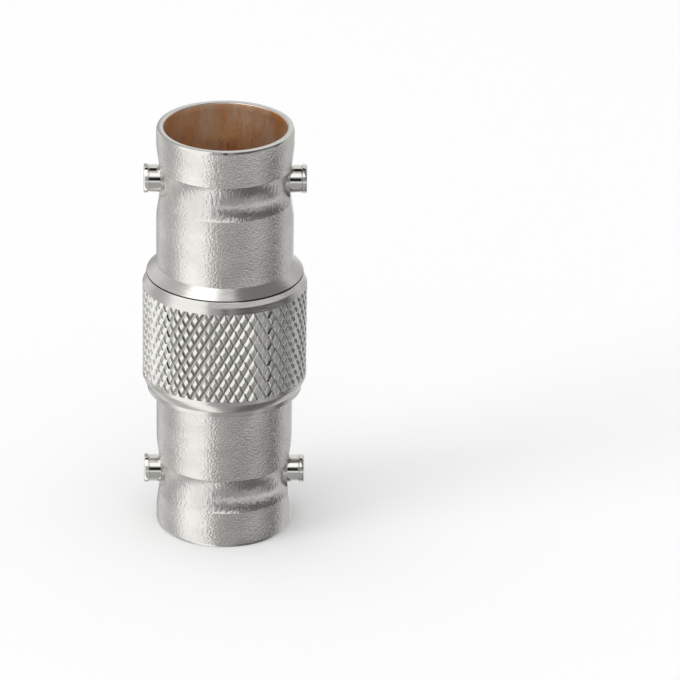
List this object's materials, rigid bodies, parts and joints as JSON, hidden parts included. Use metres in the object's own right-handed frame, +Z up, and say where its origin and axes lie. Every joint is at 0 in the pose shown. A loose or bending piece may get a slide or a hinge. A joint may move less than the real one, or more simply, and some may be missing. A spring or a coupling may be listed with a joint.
{
  "type": "bnc connector",
  "caption": "Straight coaxial coupler with a bayonet socket at each end, a knurled grip round the middle and a gilt centre contact.",
  "frame": {"origin": "centre of the bottom rim, on the surface that the coupler stands on", "axes": "+Z up the coupler's axis, out of the upper socket; X runs through the coupling studs"},
  "size_m": [0.0116, 0.0116, 0.0302],
  "materials": {
    "satin_nickel": "satin nickel plate over brass",
    "polished_nickel": "bright nickel plate over brass",
    "gold_plate": "bright gold plate over brass",
    "ptfe": "matte white"
  },
  "bodies": {
    "root": {"centre_contact": "gold_plate", "knurled_sleeve": "satin_nickel", "lower_insulator": "ptfe", "lower_left_stud": "polished_nickel", "lower_right_stud": "polished_nickel", "lower_shell": "satin_nickel", "upper_insulator": "ptfe", "upper_left_stud": "polished_nickel", "upper_right_stud": "polished_nickel", "upper_shell": "satin_nickel"}
  },
  "joints": []
}
